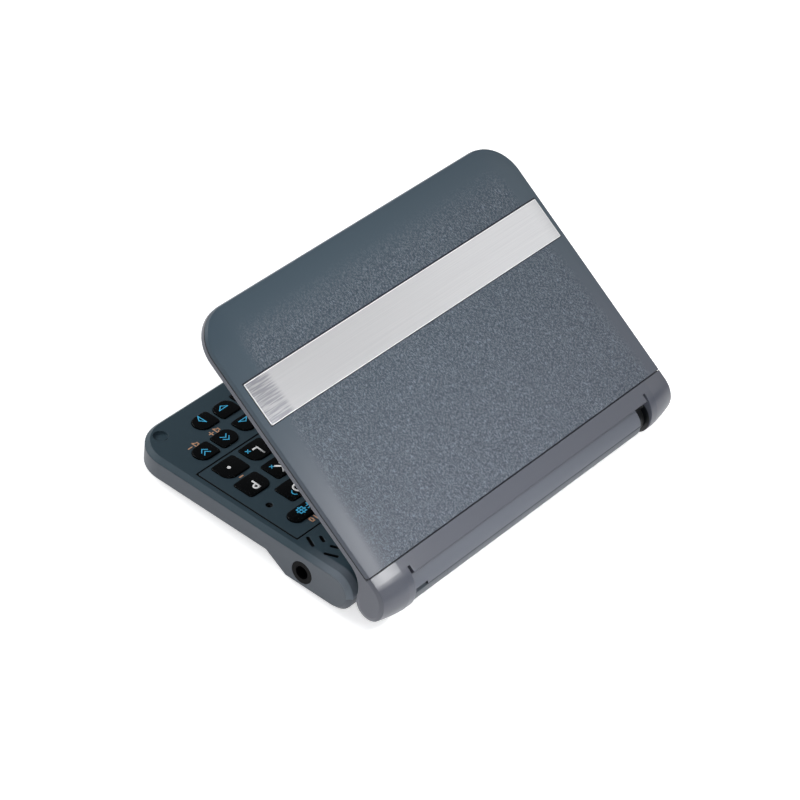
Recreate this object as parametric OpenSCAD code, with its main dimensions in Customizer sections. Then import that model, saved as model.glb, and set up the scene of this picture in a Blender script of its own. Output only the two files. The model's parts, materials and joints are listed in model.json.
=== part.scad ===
// Pocket electronic dictionary: a clamshell with a keyboard in its base and a display in its lid.
// Every module is drawn from the hinge: the hinge axis is X, y points at the user, z rises from
// the deck. stand() sets that drawing on its feet, and on_lid() swings a drawing open with the lid.

/* [Case] */
// Width of the base and of the lid
case_w = 112; // [106:0.5:130]
// Distance from the hinge axis to the front edge
case_d = 76.3; // [75:0.1:90]
// Radius of the front corners in plan
corner_r = 10.2; // [9.4:0.2:14]
// Wall of the mouldings
wall = 1.2; // [1:0.1:1.3]
// Angle at which the lid stands open, in degrees
lid_open = 34.6; // [0:0.1:140]

/* [Base] */
// Height of the deck above the hinge axis
deck_h = 3.6; // [3.5:0.1:3.8]
// Thickness of the base at its front edge
front_t = 7; // [6.8:0.1:8]
// Thickness of the battery bulge at the rear
bulge_t = 10.8; // [10.4:0.1:11.4]
// Distance from the hinge axis to the front of the bulge
bulge_d = 25; // [24.5:0.5:32]
// Length of the slope between the bulge and the thin front
slope_l = 6.5; // [4:0.1:10]
// Chamfer along the edges of the base
edge_c = 1.2; // [0.8:0.1:1.3]
// Gap between the round rear of the base and the hinge knuckles
nose_gap = 0.4; // [0.35:0.05:0.8]
// Height of the rubber feet
foot_h = 1; // [0.6:0.1:1.6]
// Diameter of the rubber feet
foot_d = 6.5; // [5:0.5:9]

/* [Hinge] */
// Radius of the lid knuckles around the axis
knuckle_r = 5.1; // [5:0.1:5.4]
// Length of each knuckle
knuckle_l = 11; // [9.8:0.1:12]
// Radius of the barrel of the base
barrel_r = 4.75; // [4.6:0.05:4.9]
// Height of the seam along the barrel above the axis
barrel_seam_h = 0.45; // [0.3:0.05:0.6]
// Gap between the barrel and the right knuckle
right_gap = 0.4; // [0.3:0.1:1]
// Gap between the barrel and the left knuckle, which shows the hub
left_gap = 2.4; // [1.6:0.1:3]
// Radius of the hinge pins
pin_r = 2; // [1.5:0.1:2.3]
// Length of a pin inside the barrel
pin_reach = 8; // [5:0.5:12]
// Length of a pin inside its knuckle
pin_seat = 5; // [4:0.5:7]
// Radius of the hub in the left gap
hub_r = 4; // [3:0.1:4.3]

/* [Lid] */
// Height of the lid face above the hinge axis
lid_h = 7.7; // [7.6:0.1:8]
// Distance from the hinge axis to the rear edge of the lid face
lid_back = 0.6; // [0:0.1:1]
// Gap between the lid rim and the deck when shut
rim_gap = 0.3; // [0.2:0.05:0.5]
// Height of the seam around the lid above the axis
lid_seam_h = 5.3; // [5.1:0.1:5.7]
// Drop of the lid face from its middle to its side edges
edge_drop = 1.3; // [0.8:0.1:1.5]
// Width of the sloping shoulder
shoulder_w = 8; // [6:0.5:9]
// Slope at which the shoulder leaves the flat face, in degrees
shoulder_tilt = 5; // [1:0.5:6]
// Lean of the cover's side from the seam to the lid face
side_lean = 0.35; // [0.2:0.05:0.6]
// Thickness of the cover
cover_t = 1.1; // [1:0.05:1.2]
// Distance from the hinge axis to the rear seam of the cover
cover_back = 5.2; // [5:0.1:6.4]
// Width of the dark groove at a seam
seam_w = 0.15; // [0.1:0.05:0.25]

/* [Trim strip] */
// Distance from the front of the lid to the strip
strip_from_front = 18.5; // [14:0.5:36]
// Width of the strip
strip_w = 11.3; // [6:0.1:20]
// Margin between the strip and the side of the lid
strip_margin = 2.1; // [1.6:0.1:8]
// Thickness of the strip
strip_t = 0.4; // [0.3:0.05:0.5]
// Height by which the strip stands above the lid face
strip_proud = 0.1; // [0.05:0.05:0.2]

/* [Display] */
// Margin between the window and the side of the lid
window_side = 10; // [9.6:0.2:20]
// Margin between the window and the front of the lid
window_front = 6.8; // [6.8:0.2:20]
// Distance from the hinge axis to the rear edge of the window
window_back = 15.5; // [15:0.5:17]
// Thickness of the window
window_t = 0.8; // [0.6:0.05:0.9]
// Width of the ledge that carries the window
window_ledge = 4; // [3:0.5:6]
// Depth of the field around the window below the rim
field_depth = 0.9; // [0.9:0.05:1.1]

/* [Keys] */
// Distance from the left side of the base to the first column of letter keys
first_col = 26; // [25.5:0.5:30]
// Distance from the last column of letter keys to the right side of the base
last_col = 10; // [9.8:0.2:12]
// Gap between neighbouring letter keys
key_space = 1.9; // [1.7:0.1:3]
// Gap between the rows of letter keys
row_space = 1.8; // [1.6:0.1:2.6]
// Gap between the rows of arrow keys
nav_space = 2.8; // [2.4:0.1:3.4]
// Gap between the function keys
fn_space = 7.1; // [3:0.1:9]
// Radius of the one strongly rounded corner
key_round = 2.4; // [1.6:0.1:2.8]
// Radius of the other corners
key_corner = 0.7; // [0.4:0.1:1]
// Height of a key above the deck
key_rise = 0.5; // [0.3:0.05:0.55]
// Radius of the dome on a key
key_dome_r = 30; // [20:1:60]
// Travel of a key
key_travel = 0.6; // [0.4:0.05:0.65]

/* [Key panel] */
// Distance from the hinge axis to the rear edge of the key panel
panel_back = 24.5; // [24:0.1:25.4]
// Margin between the key panel and the side of the base
panel_margin = 2.8; // [2.6:0.1:3]
// Thickness of the key panel and of the deck
top_t = 1.2; // [1.1:0.05:1.3]

/* [Battery] */
// Left edge of the battery door
door_left = -7.9; // [-12:0.1:-6]
// Right edge of the battery door
door_right = 33; // [32:0.5:34]
// Thickness of the cell
cell_t = 3.8; // [3:0.1:4]

/* [Headphone socket] */
// Distance from the hinge axis to the socket
jack_d = 20; // [19:0.5:20.5]
// Drop of the socket below the axis
jack_drop = 2.3; // [2.2:0.05:2.5]
// Radius of the socket's bore
jack_r = 1.8; // [1.75:0.05:1.9]
// Radius of the black ring around the socket
jack_ring_r = 3; // [2.8:0.1:3.2]
// Depth of the bore
jack_l = 12; // [10:0.5:12.5]

/* [Speaker] */
// Distance from the speaker's centre to the side of the base
speaker_side = 11.2; // [10.8:0.1:11.6]
// Distance from the hinge axis to the speaker's centre
speaker_d = 18.5; // [18:0.5:18.5]
// Radius of the speaker
speaker_r = 8; // [7:0.1:8.2]

/* [Hidden] */
$fn = 72;
eps = 0.01;
far = 300;
// Running clearance of a pin in its bore, and the fit of a seated piece
run = 0.05;
seat = 0.05;
// Gap around a key in its hole, and around a loose panel in its recess
key_gap = 0.15;
panel_gap = 0.3;
// Thickness of a key's flange, its width around the cap, and its gap under the panel
flange_t = 0.5;
flange_w = 0.45;
flange_gap = 0.05;
// Gap left under a key at the end of its travel
key_spare = 0.05;

half_w = case_w/2;
front_low = deck_h - front_t;
bulge_low = deck_h - bulge_t;
nose_r = bulge_t/2;
nose_z = deck_h - nose_r;
nose_y = sqrt(pow(nose_r + knuckle_r + nose_gap, 2) - pow(nose_z, 2));
slope_end = bulge_d + slope_l;
knuckle_x = half_w - knuckle_l;
barrel_right = knuckle_x - right_gap;
barrel_left = left_gap - knuckle_x;

// Tangent line under the barrel and the round rear: both touch at this direction
rear_dist = norm([nose_y, nose_z]);
rear_tilt = atan2(nose_z, nose_y);
function under(r1, r2) = rear_tilt - acos((r1 - r2)/rear_dist);
function polar(r, a) = [r*cos(a), r*sin(a)];

// Stance: two rows of equal feet, one under the thin front and one under the bulge
foot_front = case_d - foot_d/2 - 4.75;
foot_rear = nose_y + foot_d/2 + 0.15;
foot_side = corner_r + 1.8;
tilt = atan((bulge_t - front_t)/(foot_front - foot_rear));
hinge_z = (foot_h - bulge_low)*cos(tilt) + foot_rear*sin(tilt);

// The lid face runs into its knuckles by a larger round, whose axis lies this far in front
round_d = lid_h - knuckle_r;
rear_reach = lid_h - round_d*cos(lid_open - tilt);
hinge_y = (case_d*cos(tilt) + (deck_h - edge_c)*sin(tilt) - rear_reach)/2;

rim_h = deck_h + rim_gap;
field_h = rim_h + field_depth;
window_top = field_h + window_t;
window_w = case_w - 2*window_side;
window_d = case_d - window_back - window_front;
strip_front = case_d - strip_from_front;
cover_in = lid_h - cover_t;
field_margin = 4.4;
field_front = 3.2;
field_back = nose_y + 1.5;
field_r = 11;
panel_half = half_w - panel_margin;
panel_under = deck_h - top_t;

// Rubber bumpers under the lid's front corners, and the dimples that take them
bumper_side = 6.8;
bumper_front = 4.6;
bumper_r = 1.3;
dimple_r = 1.9;

// Key rows share the depth in front of the panel's rear edge, in shares of the row step
row_step = (case_d - panel_back)/6.73;
fn_row = panel_back + 0.69*row_step;
row_back = panel_back + 1.6*row_step;
panel_front = row_back + 2.5*row_step;
nav_back = panel_front + 0.57*row_step;
nav_front = nav_back + row_step;
key_d = row_step - row_space;
nav_d = nav_front - nav_back - nav_space;
fn_d = 0.52*row_step;

// Key columns share the width of the case, in shares of the pitch
key_pitch = (case_w - first_col - last_col)/8;
key_w = key_pitch - key_space;
right_col = half_w - last_col;
row_shift = [-0.59*key_pitch, 0.03*key_pitch, -0.03*key_pitch];
fn_w = (2*panel_half - 7 + fn_space)/4 - fn_space;
nav_x = right_col - 0.86*key_pitch;
nav_step = 0.77*key_pitch;
nav_w = nav_step - 1;
side_space = 3.8;
side_margin = 2.4;
side_left = side_margin - panel_half;
function side_right(row) = right_col + row_shift[row] - 8*key_pitch - key_w/2 - side_space;
function side_key(name, row, radii) = [name, (side_left + side_right(row))/2,
    row_back + row*row_step, side_right(row) - side_left, key_d, radii];

// Each key: name, place in x and y, width, depth, and the radii of its corners in the order
// front right, front left, rear left, rear right
C = key_corner;
R = key_round;
D = nav_d/2 - eps;
T = fn_d/2 - eps;
rows = [["q", "w", "e", "r", "t", "y", "u", "i", "o"],
        ["a", "s", "d", "f", "g", "h", "j", "k", "p"],
        ["z", "x", "c", "v", "b", "n", "m", "l", "stop"]];
letter_keys = [for (r = [0:2]) for (c = [0:8])
    [str("key_", rows[r][c]), right_col + row_shift[r] - (8 - c)*key_pitch, row_back + r*row_step,
     key_w, key_d, r == 2 ? [C, C, C, R] : [C, C, R, C]]];
side_keys = [
    side_key("key_escape", 0, [C, C, R, C]),
    side_key("key_shift", 1, [C, C, R, C]),
    side_key("key_symbol", 2, [C, R, C, C])];
fn_names = ["key_dictionary", "key_translate", "key_study", "key_tools"];
fn_step = fn_w + fn_space;
fn_keys = [for (i = [0:3]) [fn_names[i], (i - 1.5)*fn_step, fn_row, fn_w, fn_d, [T, T, T, T]]];
panel_keys = concat(letter_keys, side_keys, fn_keys);
nav_keys = [
    ["key_up", nav_x - nav_step, nav_back + 0.4, nav_w, nav_d, [C, C, D, D]],
    ["key_down", nav_x - nav_step, nav_front - 0.2, nav_w, nav_d, [D, D, C, C]],
    ["key_right", nav_x, nav_front, nav_w, nav_d, [D, C, C, D]],
    ["key_left", nav_x - 2*nav_step, nav_front, nav_w, nav_d, [C, D, D, C]],
    ["key_page_up", nav_x + 0.07*key_pitch, nav_back, nav_w, nav_d, [C, D, D, C]],
    ["key_page_down", right_col, nav_back, nav_w, nav_d, [D, C, C, D]],
    ["key_enter", 2, (nav_back + nav_front)/2, 1.5*key_pitch, nav_d, [C, D, D, C]],
    ["key_power", foot_side - half_w, (nav_back + nav_front)/2, nav_w, nav_d, [D, D, D, D]]];
all_keys = concat(panel_keys, nav_keys);

// Heights of the stack under the deck
flange_top = panel_under - flange_gap;
flange_low = flange_top - flange_t;
mat_top = flange_low - key_travel - key_spare;
mat_t = 0.8;
board_t = 0.9;
board_top = mat_top - mat_t;
board_low = board_top - board_t;
mat_back = fn_row - fn_d/2 - 0.6;
inner_side = half_w - wall;

// Screw posts: x and y of each, clear of the keys and of the speaker
screw_r = 0.8;
screw_head_r = 1.5;
post_r = 2;
screw_places = [[half_w - 6, case_d - 7], [6 - half_w, case_d - 7],
                [door_right + 2.8, nose_y + 2.6], [7 - half_w, nose_y + 8]];
screw_top = panel_under - 0.4;

// Battery bay
door_front = bulge_d - 1.2;
door_gap = 0.12;
cell_low = bulge_low + wall + seat;

jack_x = half_w - jack_l - 1;
speaker_x = half_w - speaker_side;
lanyard_x = barrel_right - 2.4;

BASE_NODES = ["bottom_case", "deck_case", "key_panel", "keypad_mat", "main_board", "headphone_jack",
              "speaker", "battery_cell", "battery_door", "case_screws", "feet"];
LID_NODES = ["hinge_pins", "lid_cover", "lid_frame", "trim_strip", "display_module",
             "display_window", "lid_bumpers"];

shell_colour = [0.36, 0.41, 0.46];
deck_colour = [0.17, 0.24, 0.28];
key_colour = [0.02, 0.02, 0.03];
metal_colour = [0.78, 0.78, 0.79];

// Placing

module stand() {
    translate([0, hinge_y, hinge_z]) rotate([tilt, 0, 0]) mirror([0, 1, 0]) children();
}

module on_lid() {
    stand() rotate([lid_open, 0, 0]) children();
}

// Extrudes a side view, drawn in y and z, between two places in x
module side_view(x1, x2) {
    translate([x1, 0, 0]) rotate([90, 0, 90]) linear_extrude(x2 - x1) children();
}

// Extrudes a plan, drawn in x and y, between two heights
module plan(low, high) {
    translate([0, 0, low]) linear_extrude(high - low) children();
}

// Outlines

// Rectangle with a radius of its own at each corner, grown by g all round
module corner_rect(w, d, radii, g = 0) {
    corners = [[1, 1], [-1, 1], [-1, -1], [1, -1]];
    difference() {
        square([w + 2*g, d + 2*g], center = true);
        for (i = [0:3]) {
            r = radii[i] + g;
            translate([corners[i][0]*(w/2 + g - r), corners[i][1]*(d/2 + g - r)]) difference() {
                translate([corners[i][0]*r, corners[i][1]*r]) square(2*r, center = true);
                circle(r);
            }
        }
    }
}

module round_rect(w, d, r) {
    corner_rect(w, d, [r, r, r, r]);
}

// Slab with two round front corners; its child is the edge section, from the corner axis outwards
module round_front_slab(side, back, front, r, low, high) {
    straight = front - r - back;
    for (m = [0, 1]) mirror([m, 0, 0]) translate([side - r, front - r, 0]) {
        rotate_extrude() children();
        rotate([90, 0, 0]) linear_extrude(straight) children();
    }
    translate([r - side, front - r, 0]) rotate([90, 0, 90]) linear_extrude(2*(side - r)) children();
    translate([r - side, back, low]) cube([2*(side - r), straight, high - low]);
}

// Base

// Edge section of the thin front, chamfered above and below
module base_edge() {
    polygon([[0, front_low], [corner_r - edge_c, front_low], [corner_r, front_low + edge_c],
             [corner_r, deck_h - edge_c], [corner_r - edge_c, deck_h], [0, deck_h]]);
}

// The round rear of the base between its two sides, chamfered all along its ends
module nose() {
    r = nose_r;
    c = edge_c;
    translate([0, nose_y, nose_z]) rotate([0, 90, 0]) rotate_extrude()
        polygon([[0, -half_w], [r - c, -half_w], [r, c - half_w], [r, half_w - c],
                 [r - c, half_w], [0, half_w]]);
}

// Straight part behind the slope, with the section of the nose
module bulge() {
    r = nose_r;
    c = edge_c;
    intersection() {
        translate([0, slope_end + 1, nose_z]) rotate([90, 0, 0]) linear_extrude(slope_end + 1 - nose_y)
            polygon([[c - half_w, -r], [half_w - c, -r], [half_w, c - r], [half_w, r - c],
                     [half_w - c, r], [c - half_w, r], [-half_w, r - c], [-half_w, c - r]]);
        side_view(-half_w, half_w)
            polygon([[nose_y, deck_h], [nose_y, bulge_low], [bulge_d, bulge_low],
                     [slope_end, front_low], [slope_end + 1, front_low], [slope_end + 1, deck_h]]);
        // Chamfers along the slope
        translate([0, bulge_d, bulge_low]) rotate([atan((bulge_t - front_t)/slope_l), 0, 0])
            rotate([90, 0, 0]) linear_extrude(4*bulge_d, center = true)
                polygon([[c - half_w, 0], [half_w - c, 0], [half_w, c], [half_w, 2*bulge_t],
                         [-half_w, 2*bulge_t], [-half_w, c]]);
    }
}

// Side view of the middle of the rear, where the barrel grows out of the base
module barrel_profile(inset = 0) {
    r1 = barrel_r - inset;
    r2 = nose_r - inset;
    a = under(r1, r2);
    top = deck_h - inset;
    circle(r1);
    translate([nose_y, nose_z]) circle(r2);
    polygon([[0, top], [0, 0], polar(r1, a), [nose_y, nose_z] + polar(r2, a),
             [nose_y, bulge_low + inset], [nose_y + 1, bulge_low + inset], [nose_y + 1, top]]);
}

module base_solid() {
    round_front_slab(half_w, slope_end - 1, case_d, corner_r, front_low, deck_h)
        base_edge();
    bulge();
    nose();
    side_view(barrel_left, barrel_right) barrel_profile();
}

// Everything that belongs to the bottom case rather than to the deck
module below_seam() {
    split = deck_h - edge_c;
    side_view(-half_w - 1, half_w + 1) {
        translate([nose_y, bulge_low - 2]) square([case_d, split - bulge_low + 2]);
        translate([nose_y, nose_z]) circle(nose_r - edge_c);
        translate([-far, bulge_low - 2]) square([far + nose_y + 1, nose_z - bulge_low + 2]);
    }
    side_view(barrel_left - left_gap/2, barrel_right + right_gap/2)
        translate([-far, bulge_low - 2]) square([far + nose_y + 1, barrel_seam_h - bulge_low + 2]);
}

// Hollow of the closed base under the deck
module base_hollow() {
    low = front_low + wall;
    plan(low, panel_under) translate([0, (slope_end + case_d - wall)/2])
        difference() {
            square([2*inner_side, case_d - wall - slope_end], center = true);
            for (m = [0, 1]) mirror([m, 0])
                translate([inner_side - corner_r + wall, (case_d - wall - slope_end)/2 - corner_r + wall])
                    difference() {
                        square(corner_r);
                        circle(corner_r - wall);
                    }
        }
    side_view(-inner_side, inner_side)
        polygon([[nose_y, panel_under], [nose_y, bulge_low + wall], [bulge_d, bulge_low + wall],
                 [slope_end, low], [slope_end + 1, low], [slope_end + 1, panel_under]]);
    side_view(-inner_side, inner_side) translate([nose_y, nose_z]) circle(nose_r - wall);
    side_view(door_left - 4, door_right + 1) intersection() {
        barrel_profile(wall);
        translate([-far, -far]) square([2*far, far + panel_under]);
    }
    side_view(door_left - 4, door_right + 1) circle(barrel_r - wall);
}

module pin_bores(r) {
    translate([barrel_right - pin_reach - 0.5, 0, 0]) rotate([0, 90, 0]) cylinder(r = r, h = far);
    translate([barrel_left + pin_reach + 0.5, 0, 0]) rotate([0, -90, 0]) cylinder(r = r, h = far);
}

module lanyard_slot() {
    translate([lanyard_x - 2.1, -barrel_r - 1, barrel_seam_h]) cube([4.2, 3, 1]);
}

module jack_hole(r) {
    translate([half_w - 6, jack_d, -jack_drop]) rotate([0, 90, 0]) cylinder(r = r, h = 7);
}

module screw_posts(r, low, high) {
    for (p = screw_places) translate([p[0], p[1], low]) cylinder(r = r, h = high - low);
}

function floor_at(y) = y > slope_end ? front_low : bulge_low;

module foot_places() {
    for (x = [foot_side - half_w, half_w - foot_side]) for (y = [foot_rear, foot_front])
        translate([x, y, floor_at(y)]) children();
}

// The battery door's stretch of the outer skin, grown by a gap all round, or by more outwards
module door_region(gap, outwards) {
    side_view(door_left - gap, door_right + gap) difference() {
        intersection() {
            barrel_and_floor(-outwards);
            translate([-far, -far]) square([far + door_front + gap, far + barrel_seam_h]);
        }
        barrel_and_floor(wall);
    }
}

module barrel_and_floor(inset) {
    barrel_profile(inset);
    translate([nose_y, bulge_low + inset]) square([door_front - nose_y + 4, bulge_t]);
}

module bottom_case() color(shell_colour) stand() {
    difference() {
        union() {
            difference() {
                intersection() {
                    base_solid();
                    below_seam();
                }
                base_hollow();
                door_region(door_gap, 1);
            }
            // Posts for the screws, and the cheeks that close the bay beside the door
            for (p = screw_places) translate([p[0], p[1], floor_at(p[1]) + wall/2])
                cylinder(r = post_r, h = board_low - 0.2 - floor_at(p[1]) - wall/2);
            for (x = [door_left - 1.6, door_right + 0.4])
                translate([x, nose_y - 1, bulge_low + wall - eps])
                    cube([1.2, door_front - nose_y + 1, cell_t]);
            // Cradle under the headphone socket
            translate([jack_x + 1, jack_d - 4, bulge_low + wall - eps])
                cube([8, 1, 2]);
            translate([jack_x + 1, jack_d + 3, bulge_low + wall - eps])
                cube([8, 1, 2]);
        }
        pin_bores(pin_r + run);
        jack_hole(jack_ring_r + seat);
        for (p = screw_places) translate([p[0], p[1], floor_at(p[1]) - eps]) {
            cylinder(r = screw_r + 0.1, h = bulge_t);
            cylinder(r = screw_head_r + 0.2, h = 1.2 + 2*seat);
        }
        foot_places() translate([0, 0, -eps]) cylinder(d = foot_d + 2*seat, h = 0.4);
    }
}

module deck_case() color(deck_colour) stand() {
    difference() {
        union() {
            difference() {
                base_solid();
                below_seam();
                base_hollow();
            }
            // Lip that locates the deck inside the bottom case, and the ledge under the key panel
            difference() {
                plan(panel_under - 1.2, panel_under + eps) lip_outline(wall + 0.1);
                plan(panel_under - 2, panel_under + 2*eps) lip_outline(wall + 1.1);
            }
            difference() {
                plan(panel_under - 0.6, panel_under + eps)
                    translate([0, (panel_back + panel_front)/2])
                        square([2*inner_side - 0.4, panel_front - panel_back + 2.4], center = true);
                plan(panel_under - 2, panel_under + 1) translate([0, (panel_back + panel_front)/2])
                    square([2*panel_half - 1.6, panel_front - panel_back - 1.6], center = true);
            }
            screw_posts(post_r, board_low, panel_under + eps);
        }
        // Recess of the key panel
        plan(panel_under - eps, deck_h + 1) translate([0, (panel_back + panel_front)/2])
            round_rect(2*(panel_half + panel_gap), panel_front - panel_back + 2*panel_gap, 1);
        for (k = nav_keys) key_hole(k);
        for (k = all_keys) key_well(k);
        translate([speaker_x, speaker_d, board_low])
            cylinder(r = speaker_r + 0.3, h = panel_under - board_low);
        pin_bores(pin_r + run);
        lanyard_slot();
        speaker_slots();
        for (x = [half_w - bumper_side, bumper_side - half_w])
            translate([x, case_d - bumper_front, deck_h - 0.7]) cylinder(r = dimple_r, h = 2);
        screw_posts(screw_r - 0.05, board_low - 1, screw_top);
    }
}

module lip_outline(inset) {
    w = 2*(half_w - inset);
    back = slope_end - 4;
    front = case_d - inset;
    r = corner_r - inset;
    translate([0, (back + front)/2]) corner_rect(w, front - back, [r, r, eps, eps]);
}

module speaker_slots() {
    // Outer and inner ring of slots: radius of the ring and length of its slots
    rings = [[0.95*speaker_r, 0.46*speaker_r], [0.575*speaker_r, 0.3*speaker_r]];
    slot_w = 0.9;
    translate([speaker_x, speaker_d, 0]) for (ring = rings) for (a = [-25, 25, 155, 205])
        rotate([0, 0, a]) translate([ring[0], 0, panel_under - 1])
            linear_extrude(top_t + 2) round_rect(slot_w, ring[1], 0.49*slot_w);
}

// Keys

module key_plan(k, g = 0) {
    translate([k[1], k[2]]) corner_rect(k[3], k[4], k[5], g);
}

module key_hole(k) {
    plan(panel_under - eps, deck_h + 1) key_plan(k, key_gap);
}

// Space for the flange of a key that sits in the deck itself
module key_well(k) {
    plan(mat_top, panel_under) key_plan(k, flange_w + key_gap);
}

module key(k) color(key_colour) stand() {
    top = deck_h + key_rise;
    intersection() {
        plan(flange_low, top) key_plan(k);
        // A wide key is crowned from front to back only, a small one all round
        translate([k[1], k[2], top - key_dome_r]) if (k[3] > 2*key_d)
            rotate([0, 90, 0]) cylinder(r = key_dome_r, h = k[3] + 2, center = true, $fn = 180);
        else
            sphere(key_dome_r, $fn = 180);
    }
    plan(flange_low, flange_top) key_plan(k, flange_w);
}

module key_panel() color(deck_colour) stand() {
    mid = (panel_back + panel_front)/2;
    difference() {
        plan(panel_under, deck_h) translate([0, mid])
            round_rect(2*panel_half, panel_front - panel_back, 0.8);
        for (k = panel_keys) key_hole(k);
        // Recess with the reset hole beside the top row
        translate([half_w - 7, row_back + 0.1, 0]) {
            plan(deck_h - 0.4, deck_h + 1) circle(0.9);
            plan(panel_under - 1, deck_h + 1) circle(0.4);
        }
    }
}

module board_outline() {
    gap = 2.4;
    r = corner_r - wall;
    depth = case_d - wall - gap - mat_back;
    difference() {
        translate([0, mat_back + depth/2]) corner_rect(2*(inner_side - gap), depth, [r, r, 1, 1]);
        for (p = screw_places) translate(p) circle(post_r + 0.4);
    }
}

module keypad_mat() color([0.2, 0.2, 0.22]) stand() {
    dome_h = 0.25;
    plan(board_top + seat, mat_top - dome_h) board_outline();
    for (k = all_keys) translate([k[1], k[2], mat_top - dome_h - eps]) cylinder(r = 1.7, h = dome_h);
}

module main_board() color([0.05, 0.35, 0.2]) stand() {
    plan(board_low, board_top) board_outline();
    // Processor, memory, crystal can and connectors on the underside
    chips = [[-12, 2, 12, 12], [8, 2, 9, 7], [24, 0, 6, 4], [-32, 0, 7, 10], [0, 18, 16, 3]];
    chip_t = 0.9;
    for (c = chips) translate([c[0], c[1] + case_d - 32, board_low - chip_t])
        linear_extrude(chip_t + eps) round_rect(c[2], c[3], 0.3);
}

module headphone_jack() color([0.04, 0.04, 0.04]) stand() {
    difference() {
        union() {
            translate([jack_x, jack_d - 2.9, bulge_low + wall + seat])
                cube([half_w - wall - 0.3 - jack_x, 5.8, -jack_drop + 2.3 - bulge_low - wall]);
            translate([half_w - 5, jack_d, -jack_drop]) rotate([0, 90, 0])
                cylinder(r = jack_ring_r, h = 5);
        }
        translate([half_w - jack_l, jack_d, -jack_drop]) rotate([0, 90, 0])
            cylinder(r = jack_r, h = jack_l + 1);
    }
}

module speaker() color([0.12, 0.12, 0.13]) stand() {
    r = speaker_r;
    translate([speaker_x, speaker_d, panel_under - seat]) rotate([180, 0, 0]) rotate_extrude()
        polygon([[0, 0.7], [0.33*r, 0.7], [0.4*r, 0.3], [0.86*r, 0.6], [0.86*r, 0], [r, 0],
                 [r, 0.8], [0.65*r, 1.3], [0.65*r, 1.8], [0, 1.8]]);
}

module battery_cell() color([0.3, 0.45, 0.6]) stand() {
    length = door_right - door_left - 6;
    depth = door_front - nose_y - 0.6;
    translate([(door_left + door_right)/2, nose_y + depth/2, cell_low])
        linear_extrude(cell_t) round_rect(length, depth, 1);
}

// Door with two tongues that reach over the floor in front of it, and grip lines for a thumb
module battery_door() color(shell_colour) stand() {
    tongue = [2, 2, 0.9];
    difference() {
        union() {
            door_region(0, 0);
            for (x = [door_left + 0.5, door_right - 0.5 - tongue[0]])
                translate([x, door_front - tongue[1]/2, bulge_low + wall - eps]) {
                    cube([tongue[0], tongue[1]/2, tongue[2]]);
                    translate([0, 0, seat + eps]) cube(tongue - [0, 0, seat + eps]);
                }
        }
        for (i = [-2:2]) translate([(door_left + door_right)/2, door_front - 5 + 1.2*i, bulge_low])
            cube([10, 0.5, 0.5], center = true);
    }
}

module case_screws() color(metal_colour) stand() {
    for (p = screw_places) translate([p[0], p[1], floor_at(p[1])]) difference() {
        union() {
            translate([0, 0, 0.2]) cylinder(r = screw_head_r, h = 1);
            translate([0, 0, 1]) cylinder(r = screw_r - 0.1, h = screw_top - 1.2 - floor_at(p[1]));
        }
        for (a = [0, 90]) rotate([0, 0, a]) cube([1.7, 0.4, 1.2], center = true);
    }
}

module feet() color([0.1, 0.1, 0.1]) {
    intersection() {
        stand() foot_places() translate([0, 0, -2*foot_h]) cylinder(d = foot_d, h = 2*foot_h + 0.35);
        translate([-far/2, -far/2, 0]) cube([far, far, far/2]);
    }
}

// Hinge

module hinge_pins() color([0.12, 0.12, 0.13]) on_lid() {
    translate([barrel_right - pin_reach, 0, 0]) rotate([0, 90, 0])
        cylinder(r = pin_r, h = pin_reach + right_gap + pin_seat);
    translate([-knuckle_x - pin_seat, 0, 0]) rotate([0, 90, 0])
        cylinder(r = pin_r, h = pin_seat + left_gap + pin_reach);
    translate([-knuckle_x, 0, 0]) rotate([0, 90, 0]) cylinder(r = hub_r, h = left_gap - 0.15);
}

// Lid, drawn shut: y runs from the hinge to the front edge, z is the height above the axis

// The lid face from the corner axis outwards, lowered by inset: flat, then the shoulder's arc
module face_curve(inset) {
    reach = shoulder_w - side_lean;
    r = (pow(reach, 2) + pow(edge_drop, 2))
        /(2*(edge_drop*cos(shoulder_tilt) - reach*sin(shoulder_tilt)));
    run_in = corner_r - shoulder_w;
    translate([run_in - r*sin(shoulder_tilt), lid_h - r*cos(shoulder_tilt)])
        circle(r - inset, $fn = 360);
    translate([corner_r - half_w, 0])
        square([run_in - inset*tan(shoulder_tilt/2) - corner_r + half_w, lid_h - inset]);
}

// Edge section of the lid from the corner axis outwards
module lid_edge(low, inset = 0) {
    intersection() {
        polygon([[0, low], [corner_r - inset, low], [corner_r - inset, max(low + eps, lid_seam_h)],
                 [corner_r - side_lean - inset, lid_h - edge_drop],
                 [corner_r - side_lean - inset, lid_h - inset], [0, lid_h - inset]]);
        face_curve(inset);
    }
}

module lid_slab(low, back, inset = 0) {
    r = corner_r - inset;
    round_front_slab(half_w - inset, back, case_d - inset, r, low, lid_h - inset)
        lid_edge(low, inset);
}

module lid_cover() color(shell_colour) on_lid() {
    difference() {
        intersection() {
            lid_slab(lid_seam_h + seam_w/2, cover_back + seam_w);
            translate([-half_w, cover_back + seam_w, 0]) cube([case_w, case_d, 2*lid_h]);
        }
        lid_slab(lid_seam_h - 1, cover_back - 1, cover_t);
        strip_body(strip_t - strip_proud + 0.02, 1, 0.08);
    }
}

// Strip between a depth below the lid face and a height above it, grown by g in plan
module strip_body(depth, proud, g) {
    x = half_w - strip_margin + g;
    intersection() {
        difference() {
            below_face(-proud);
            below_face(depth);
        }
        plan(0, far) translate([0, strip_front - strip_w/2]) round_rect(2*x, strip_w + 2*g, 0.3);
    }
}

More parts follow.
